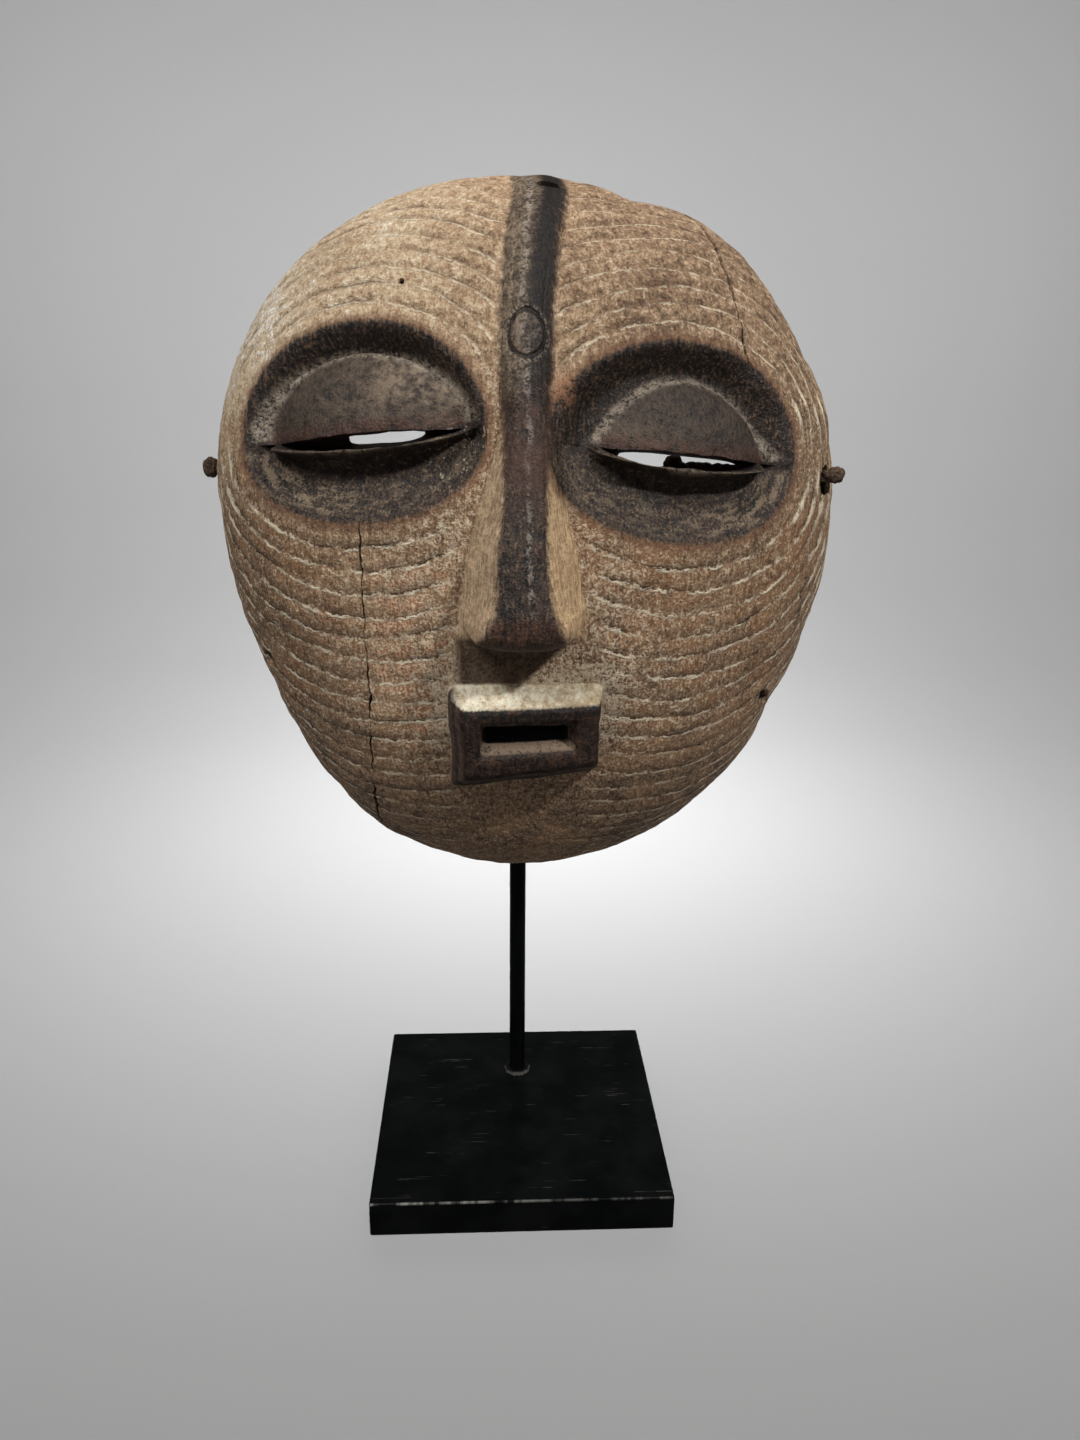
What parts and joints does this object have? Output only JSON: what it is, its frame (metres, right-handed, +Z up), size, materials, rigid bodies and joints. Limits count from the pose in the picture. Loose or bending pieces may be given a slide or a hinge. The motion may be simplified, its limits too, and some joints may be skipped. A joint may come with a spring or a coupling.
{
  "type": "carved mask on stand",
  "caption": "Round hollow carved wood face mask with grooved cheeks, slit eyes and a box mouth, carried on a thin steel rod over a square black base.",
  "frame": {"origin": "middle of the base's underside", "axes": "+Z up, the face looks along -Y, +X to the viewer's right"},
  "size_m": [0.2936, 0.1825, 0.4882],
  "materials": {
    "carved_wood": "worn light wood, white clay in the grooves, brushed black paint on the eyes, ridge and mouth",
    "plant_fibre": "dark twisted plant fibre, dusty",
    "black_steel": "satin black with faint mottling and worn edges"
  },
  "bodies": {
    "root": {"mask": "carved_wood", "temple_cord": "plant_fibre", "stand_rod": "black_steel", "stand_base": "black_steel"}
  },
  "joints": []
}
